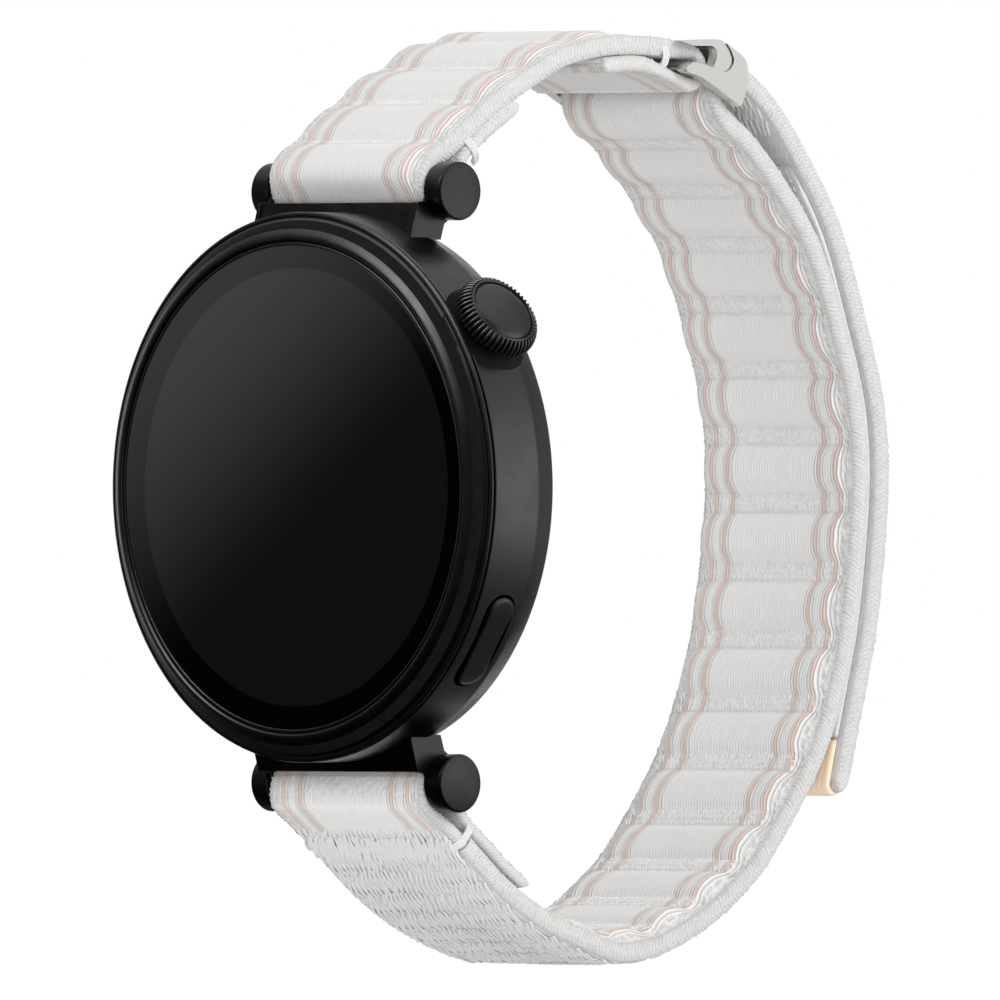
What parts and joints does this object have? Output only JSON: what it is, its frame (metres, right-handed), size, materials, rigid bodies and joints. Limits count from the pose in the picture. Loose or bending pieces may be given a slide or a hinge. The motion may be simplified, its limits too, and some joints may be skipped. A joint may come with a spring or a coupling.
{
  "type": "smart watch on hook and loop strap",
  "caption": "Round smart watch on a woven hook and loop strap that doubles back over a metal buckle and sticks to itself.",
  "frame": {"origin": "middle of the flat sensor window on the back of the case, which rests on the wrist", "axes": "+X towards 3 o'clock, the crown side; +Z towards 12 o'clock; +Y out of the back of the case, into the strap's loop"},
  "size_m": [0.0418, 0.0557, 0.0707],
  "materials": {
    "case_black": "satin black coating",
    "cover_glass": "glossy, dark behind",
    "display": "dark, switched off",
    "seal_rubber": "matt",
    "board": "green lacquer",
    "cell": "satin foil",
    "inner_plastic": "moulded",
    "steel": "turned",
    "buckle_metal": "fine satin, warm grey",
    "weave": "woven nylon, off-white with rose stripes",
    "hook_tape": "fine hooks",
    "peach_tape": "ribbed finger tab"
  },
  "bodies": {
    "head": {"mid_case": "case_black", "bezel_ring": "case_black", "back_cover": "case_black", "cover_glass": "cover_glass", "sensor_window": "cover_glass", "display_panel": "display", "bezel_gasket": "seal_rubber", "back_gasket": "seal_rubber", "movement_frame": "steel", "circuit_board": "board", "sensor_board": "board", "crown_switch": "inner_plastic", "button_switch": "inner_plastic", "battery": "cell", "speaker": "inner_plastic", "vibration_motor": "steel", "crown_tube": "steel", "button_spring": "steel", "upper_lug": "case_black", "lower_lug": "case_black", "upper_lug_screw_crown_side": "steel", "upper_lug_screw_far_side": "steel", "lower_lug_screw_crown_side": "steel", "lower_lug_screw_far_side": "steel", "upper_spring_bar": "steel", "lower_spring_bar": "steel"},
    "crown_plunger": {"crown_stem": "steel"},
    "crown": {"crown_knob": "case_black", "crown_cap": "case_black"},
    "side_key": {"side_button": "case_black"},
    "upper_release": {"upper_release_lever": "steel"},
    "lower_release": {"lower_release_lever": "steel"},
    "upper_strap": {"upper_strap": "weave"},
    "buckle": {"buckle_frame": "buckle_metal"},
    "lower_strap": {"long_strap": "weave", "lower_strap_sleeve": "weave"},
    "strap_tail": {"strap_tail": "weave", "hook_patch": "hook_tape", "end_tab": "peach_tape"}
  },
  "joints": [
    {"name": "crown_press", "type": "slide", "parent": "head", "child": "crown_plunger", "axis": [-0.8141, 0, -0.5807], "range_m": [0, 0.0002], "stiffness_N_per_m": 3000},
    {"name": "crown_turn", "type": "hinge", "parent": "crown_plunger", "child": "crown", "pos_m": [0.01791, -0.0062, 0.01277], "axis": [0.8141, 0, 0.5807], "continuous": true},
    {"name": "side_key_press", "type": "slide", "parent": "head", "child": "side_key", "axis": [-0.8221, 0, 0.5693], "range_m": [0, 0.0003], "stiffness_N_per_m": 2500},
    {"name": "upper_release_slide", "type": "slide", "parent": "head", "child": "upper_release", "axis": [-1, 0, 0], "range_m": [0, 0.001], "stiffness_N_per_m": 1200},
    {"name": "lower_release_slide", "type": "slide", "parent": "head", "child": "lower_release", "axis": [-1, 0, 0], "range_m": [0, 0.001], "stiffness_N_per_m": 1200},
    {"name": "upper_strap_swing", "type": "hinge", "parent": "head", "child": "upper_strap", "pos_m": [0, -0.0027, 0.02245], "axis": [1, 0, 0], "range_deg": [-1.5, 1.5]},
    {"name": "buckle_tilt", "type": "hinge", "parent": "upper_strap", "child": "buckle", "pos_m": [0, 0.02321, 0.03194], "axis": [1, 0, 0], "range_deg": [-7.5, 7.5]},
    {"name": "lower_strap_swing", "type": "hinge", "parent": "head", "child": "lower_strap", "pos_m": [0, -0.0027, -0.02245], "axis": [1, 0, 0], "range_deg": [-0.4, 0.4]},
    {"name": "tail_peel", "type": "hinge", "parent": "lower_strap", "child": "strap_tail", "pos_m": [0, 0.02922, 0.03211], "axis": [1, 0, 0], "range_deg": [0, 60]}
  ],
  "couplings": [
    {"joint": "lower_strap_swing", "follows": "upper_strap_swing", "ratio": 0.2563},
    {"joint": "buckle_tilt", "follows": "upper_strap_swing", "ratio": -4.979}
  ]
}
